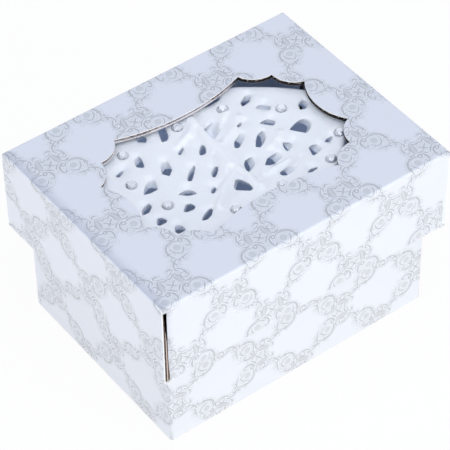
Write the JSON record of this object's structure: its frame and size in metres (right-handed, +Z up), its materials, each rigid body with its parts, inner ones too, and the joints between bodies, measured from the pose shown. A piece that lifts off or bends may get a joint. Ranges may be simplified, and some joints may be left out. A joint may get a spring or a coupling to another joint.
{
  "type": "window gift box",
  "caption": "Two-piece printed gift box: a deep lid with a scalloped window slides up off a narrower base that holds a pierced porcelain dome set with clear stones",
  "frame": {"origin": "middle of the base's underside, on the surface the box stands on", "axes": "+X along the long side of the lid, +Y across it towards the back, +Z up"},
  "size_m": [0.102, 0.078, 0.0616],
  "materials": {
    "printed_paper": "satin print on white",
    "printed_board": "white printed face",
    "kraft_board": "raw brown board",
    "kraft_paper": "raw brown ply",
    "porcelain": "gloss white glaze",
    "clear_stone": "faceted, foil backed"
  },
  "bodies": {
    "base": {"base_back_bottom_flap": "printed_board", "base_back_wall": "kraft_board", "base_front_bottom_flap": "printed_board", "base_front_wall": "kraft_board", "base_glue_flap": "kraft_board", "base_left_bottom_flap": "kraft_board", "base_left_wall": "kraft_board", "base_printed_sleeve": "printed_paper", "base_right_bottom_flap": "kraft_board", "base_right_wall": "kraft_board", "pierced_dome": "porcelain", "set_stones": "clear_stone"},
    "lid": {"lid_back_inner_wall": "printed_board", "lid_back_wall": "kraft_board", "lid_corner_tabs": "kraft_board", "lid_front_inner_wall": "printed_board", "lid_front_wall": "kraft_board", "lid_left_inner_wall": "printed_board", "lid_left_wall": "kraft_board", "lid_printed_sheet": "printed_paper", "lid_right_inner_wall": "printed_board", "lid_right_wall": "kraft_board", "lid_top_fluting": "kraft_paper", "lid_top_liner": "kraft_paper"}
  },
  "joints": [
    {"name": "lid_lift", "type": "slide", "parent": "base", "child": "lid", "axis": [0, 0, 1], "range_m": [0, 0.06]}
  ]
}
